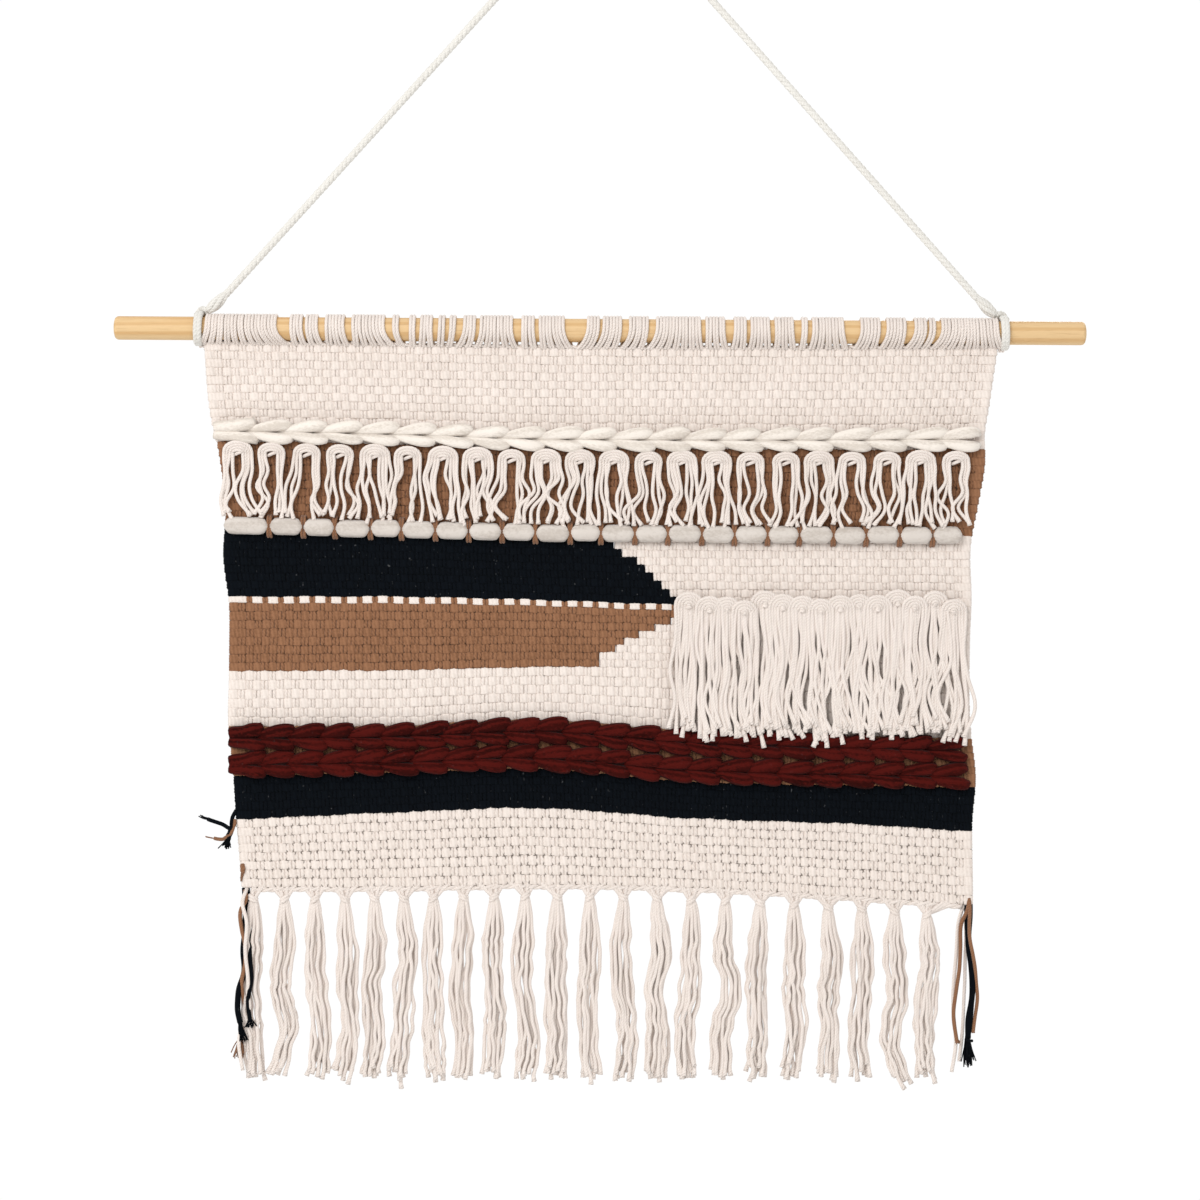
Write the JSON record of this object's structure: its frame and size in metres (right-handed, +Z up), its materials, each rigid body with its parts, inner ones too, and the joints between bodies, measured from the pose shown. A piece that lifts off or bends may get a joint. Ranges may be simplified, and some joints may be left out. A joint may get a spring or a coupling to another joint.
{
  "type": "tapestry wall hanging",
  "caption": "Woven wall hanging on a wooden dowel with colour-block cloth, soumak braids, knotted fringe, warp tassels and a hanging cord.",
  "frame": {"origin": "top of the hanging cord's centre line, where the nail or hook goes", "axes": "+X to the viewer's right along the dowel, +Z up, front of the cloth facing -Y"},
  "size_m": [0.66, 0.0248, 0.8128],
  "materials": {
    "dowel_wood": "bare pale pine, sanded, fine straight grain",
    "white_cord": "off-white twisted cotton cord, matt",
    "cream_cotton": "cream cotton warp and weft in plain weave, matt",
    "cream_cord": "cream plied cotton cord, cut ends, matt",
    "cream_roving": "thick loosely spun cream roving, soft and slightly fuzzy",
    "tan_yarn": "tan brown cotton yarn, matt",
    "navy_yarn": "near-black navy yarn, matt with light lint",
    "maroon_yarn": "dark maroon yarn, matt"
  },
  "bodies": {
    "hanging_cord": {"hanging_cord": "white_cord", "cord_knot_left": "white_cord", "cord_knot_right": "white_cord"},
    "dowel": {"dowel": "dowel_wood"},
    "panel": {"warp_header": "cream_cotton", "cloth_top_cream": "cream_cotton", "soumak_cream": "cream_roving", "cloth_tan_band": "tan_yarn", "short_fringe_knots": "cream_cord", "pebble_row": "cream_roving", "cloth_navy_block": "navy_yarn", "cloth_mid_cream": "cream_cotton", "dash_row": "cream_roving", "cloth_tan_block": "tan_yarn", "long_fringe_knots": "cream_cord", "cloth_tan_ground": "tan_yarn", "soumak_maroon_upper": "maroon_yarn", "soumak_maroon_lower": "maroon_yarn", "cloth_lower_navy": "navy_yarn", "cloth_lower_cream": "cream_cotton", "weft_tails_left": "navy_yarn"},
    "short_fringe": {"short_fringe": "cream_cord"},
    "long_fringe": {"long_fringe": "cream_cord"},
    "tassel_01": {"tassel_01": "cream_cord"},
    "tassel_02": {"tassel_02": "cream_cord"},
    "tassel_03": {"tassel_03": "cream_cord"},
    "tassel_04": {"tassel_04": "cream_cord"},
    "tassel_05": {"tassel_05": "cream_cord"},
    "tassel_06": {"tassel_06": "cream_cord"},
    "tassel_07": {"tassel_07": "cream_cord"},
    "tassel_08": {"tassel_08": "cream_cord"},
    "tassel_09": {"tassel_09": "cream_cord"},
    "tassel_10": {"tassel_10": "cream_cord"},
    "tassel_11": {"tassel_11": "cream_cord"},
    "tassel_12": {"tassel_12": "cream_cord"},
    "tassel_13": {"tassel_13": "cream_cord"},
    "tassel_14": {"tassel_14": "cream_cord"},
    "tassel_15": {"tassel_15": "cream_cord"},
    "tassel_16": {"tassel_16": "cream_cord"},
    "tassel_17": {"tassel_17": "cream_cord"},
    "tassel_18": {"tassel_18": "cream_cord"},
    "tassel_19": {"tassel_19": "cream_cord"},
    "tassel_20": {"tassel_20": "cream_cord"},
    "tassel_21": {"tassel_21": "cream_cord"},
    "tassel_22": {"tassel_22": "cream_cord"},
    "side_yarns_left": {"side_yarns_left": "tan_yarn"},
    "side_yarns_right": {"side_yarns_right": "navy_yarn"}
  },
  "joints": [
    {"name": "dowel_roll", "type": "hinge", "parent": "hanging_cord", "child": "dowel", "pos_m": [0, 0, -0.3045], "axis": [1, 0, 0], "continuous": true},
    {"name": "panel_swing", "type": "hinge", "parent": "hanging_cord", "child": "panel", "pos_m": [0, 0, -0.3045], "axis": [-1, 0, 0], "range_deg": [0, 110]},
    {"name": "short_fringe_lift", "type": "hinge", "parent": "panel", "child": "short_fringe", "pos_m": [0, -0.0058, -0.3963], "axis": [-1, 0, 0], "range_deg": [0, 90]},
    {"name": "long_fringe_lift", "type": "hinge", "parent": "panel", "child": "long_fringe", "pos_m": [0, -0.0058, -0.4958], "axis": [-1, 0, 0], "range_deg": [0, 90]},
    {"name": "tassel_01_swing", "type": "hinge", "parent": "panel", "child": "tassel_01", "pos_m": [-0.2346, 0, -0.689], "axis": [-1, 0, 0], "range_deg": [-3, 90]},
    {"name": "tassel_02_swing", "type": "hinge", "parent": "panel", "child": "tassel_02", "pos_m": [-0.21324, 0, -0.689], "axis": [-1, 0, 0], "range_deg": [-3, 90]},
    {"name": "tassel_03_swing", "type": "hinge", "parent": "panel", "child": "tassel_03", "pos_m": [-0.19252, 0, -0.689], "axis": [-1, 0, 0], "range_deg": [-3, 90]},
    {"name": "tassel_04_swing", "type": "hinge", "parent": "panel", "child": "tassel_04", "pos_m": [-0.17222, 0, -0.689], "axis": [-1, 0, 0], "range_deg": [-3, 90]},
    {"name": "tassel_05_swing", "type": "hinge", "parent": "panel", "child": "tassel_05", "pos_m": [-0.15215, 0, -0.689], "axis": [-1, 0, 0], "range_deg": [-3, 90]},
    {"name": "tassel_06_swing", "type": "hinge", "parent": "panel", "child": "tassel_06", "pos_m": [-0.13212, 0, -0.689], "axis": [-1, 0, 0], "range_deg": [-3, 90]},
    {"name": "tassel_07_swing", "type": "hinge", "parent": "panel", "child": "tassel_07", "pos_m": [-0.11198, 0, -0.689], "axis": [-1, 0, 0], "range_deg": [-3, 90]},
    {"name": "tassel_08_swing", "type": "hinge", "parent": "panel", "child": "tassel_08", "pos_m": [-0.09157, 0, -0.689], "axis": [-1, 0, 0], "range_deg": [-3, 90]},
    {"name": "tassel_09_swing", "type": "hinge", "parent": "panel", "child": "tassel_09", "pos_m": [-0.07079, 0, -0.689], "axis": [-1, 0, 0], "range_deg": [-3, 90]},
    {"name": "tassel_10_swing", "type": "hinge", "parent": "panel", "child": "tassel_10", "pos_m": [-0.04956, 0, -0.689], "axis": [-1, 0, 0], "range_deg": [-3, 90]},
    {"name": "tassel_11_swing", "type": "hinge", "parent": "panel", "child": "tassel_11", "pos_m": [-0.02784, 0, -0.689], "axis": [-1, 0, 0], "range_deg": [-3, 90]},
    {"name": "tassel_12_swing", "type": "hinge", "parent": "panel", "child": "tassel_12", "pos_m": [-0.00565, 0, -0.689], "axis": [-1, 0, 0], "range_deg": [-3, 90]},
    {"name": "tassel_13_swing", "type": "hinge", "parent": "panel", "child": "tassel_13", "pos_m": [0.01698, 0, -0.689], "axis": [-1, 0, 0], "range_deg": [-3, 90]},
    {"name": "tassel_14_swing", "type": "hinge", "parent": "panel", "child": "tassel_14", "pos_m": [0.03996, 0, -0.689], "axis": [-1, 0, 0], "range_deg": [-3, 90]},
    {"name": "tassel_15_swing", "type": "hinge", "parent": "panel", "child": "tassel_15", "pos_m": [0.06321, 0, -0.689], "axis": [-1, 0, 0], "range_deg": [-3, 90]},
    {"name": "tassel_16_swing", "type": "hinge", "parent": "panel", "child": "tassel_16", "pos_m": [0.0866, 0, -0.689], "axis": [-1, 0, 0], "range_deg": [-3, 90]},
    {"name": "tassel_17_swing", "type": "hinge", "parent": "panel", "child": "tassel_17", "pos_m": [0.11001, 0, -0.689], "axis": [-1, 0, 0], "range_deg": [-3, 90]},
    {"name": "tassel_18_swing", "type": "hinge", "parent": "panel", "child": "tassel_18", "pos_m": [0.13332, 0, -0.689], "axis": [-1, 0, 0], "range_deg": [-3, 90]},
    {"name": "tassel_19_swing", "type": "hinge", "parent": "panel", "child": "tassel_19", "pos_m": [0.15643, 0, -0.689], "axis": [-1, 0, 0], "range_deg": [-3, 90]},
    {"name": "tassel_20_swing", "type": "hinge", "parent": "panel", "child": "tassel_20", "pos_m": [0.17923, 0, -0.689], "axis": [-1, 0, 0], "range_deg": [-3, 90]},
    {"name": "tassel_21_swing", "type": "hinge", "parent": "panel", "child": "tassel_21", "pos_m": [0.20167, 0, -0.689], "axis": [-1, 0, 0], "range_deg": [-3, 90]},
    {"name": "tassel_22_swing", "type": "hinge", "parent": "panel", "child": "tassel_22", "pos_m": [0.2237, 0, -0.689], "axis": [-1, 0, 0], "range_deg": [-3, 90]},
    {"name": "side_yarns_left_swing", "type": "hinge", "parent": "panel", "child": "side_yarns_left", "pos_m": [-0.2455, 0, -0.6885], "axis": [-1, 0, 0], "range_deg": [-3, 100]},
    {"name": "side_yarns_right_swing", "type": "hinge", "parent": "panel", "child": "side_yarns_right", "pos_m": [0.2505, 0, -0.6885], "axis": [-1, 0, 0], "range_deg": [-3, 100]}
  ]
}
